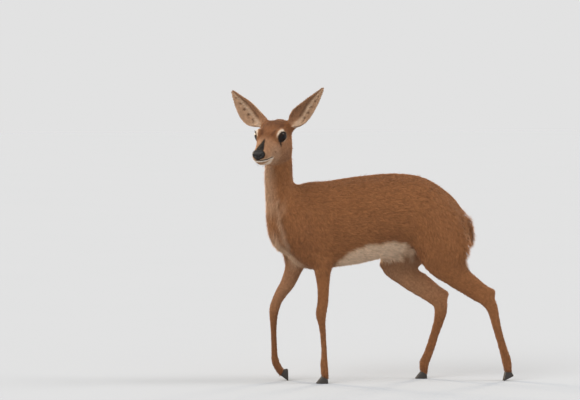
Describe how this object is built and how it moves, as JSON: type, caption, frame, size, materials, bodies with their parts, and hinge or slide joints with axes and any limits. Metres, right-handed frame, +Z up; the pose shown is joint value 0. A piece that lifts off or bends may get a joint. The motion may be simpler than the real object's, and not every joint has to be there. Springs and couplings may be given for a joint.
{
  "type": "steenbok ewe",
  "caption": "Life-size still model of a small slender antelope without horns, walking, its head turned to its left and its large ears raised.",
  "frame": {"origin": "on the floor under the middle of the figure's bounding box", "axes": "+Z up, -X the way the body walks, -Y its left side"},
  "size_m": [0.7004, 0.1838, 0.739],
  "materials": {
    "coat": "short sleek rufous fawn fur, white below",
    "nose_skin": "bare black nose pad, slightly moist",
    "eye": "wet dark brown eye",
    "hoof_horn": "smooth black horn"
  },
  "bodies": {
    "root": {"torso": "coat", "neck": "coat", "head": "coat", "tail": "coat", "ear_left": "coat", "ear_right": "coat", "leg_fore_left": "coat", "leg_fore_right": "coat", "leg_hind_left": "coat", "leg_hind_right": "coat", "nose": "nose_skin", "eye_left": "eye", "eye_right": "eye", "hoof_fore_left_outer": "hoof_horn", "hoof_fore_left_inner": "hoof_horn", "hoof_fore_right_outer": "hoof_horn", "hoof_fore_right_inner": "hoof_horn", "hoof_hind_left_outer": "hoof_horn", "hoof_hind_left_inner": "hoof_horn", "hoof_hind_right_outer": "hoof_horn", "hoof_hind_right_inner": "hoof_horn"}
  },
  "joints": []
}
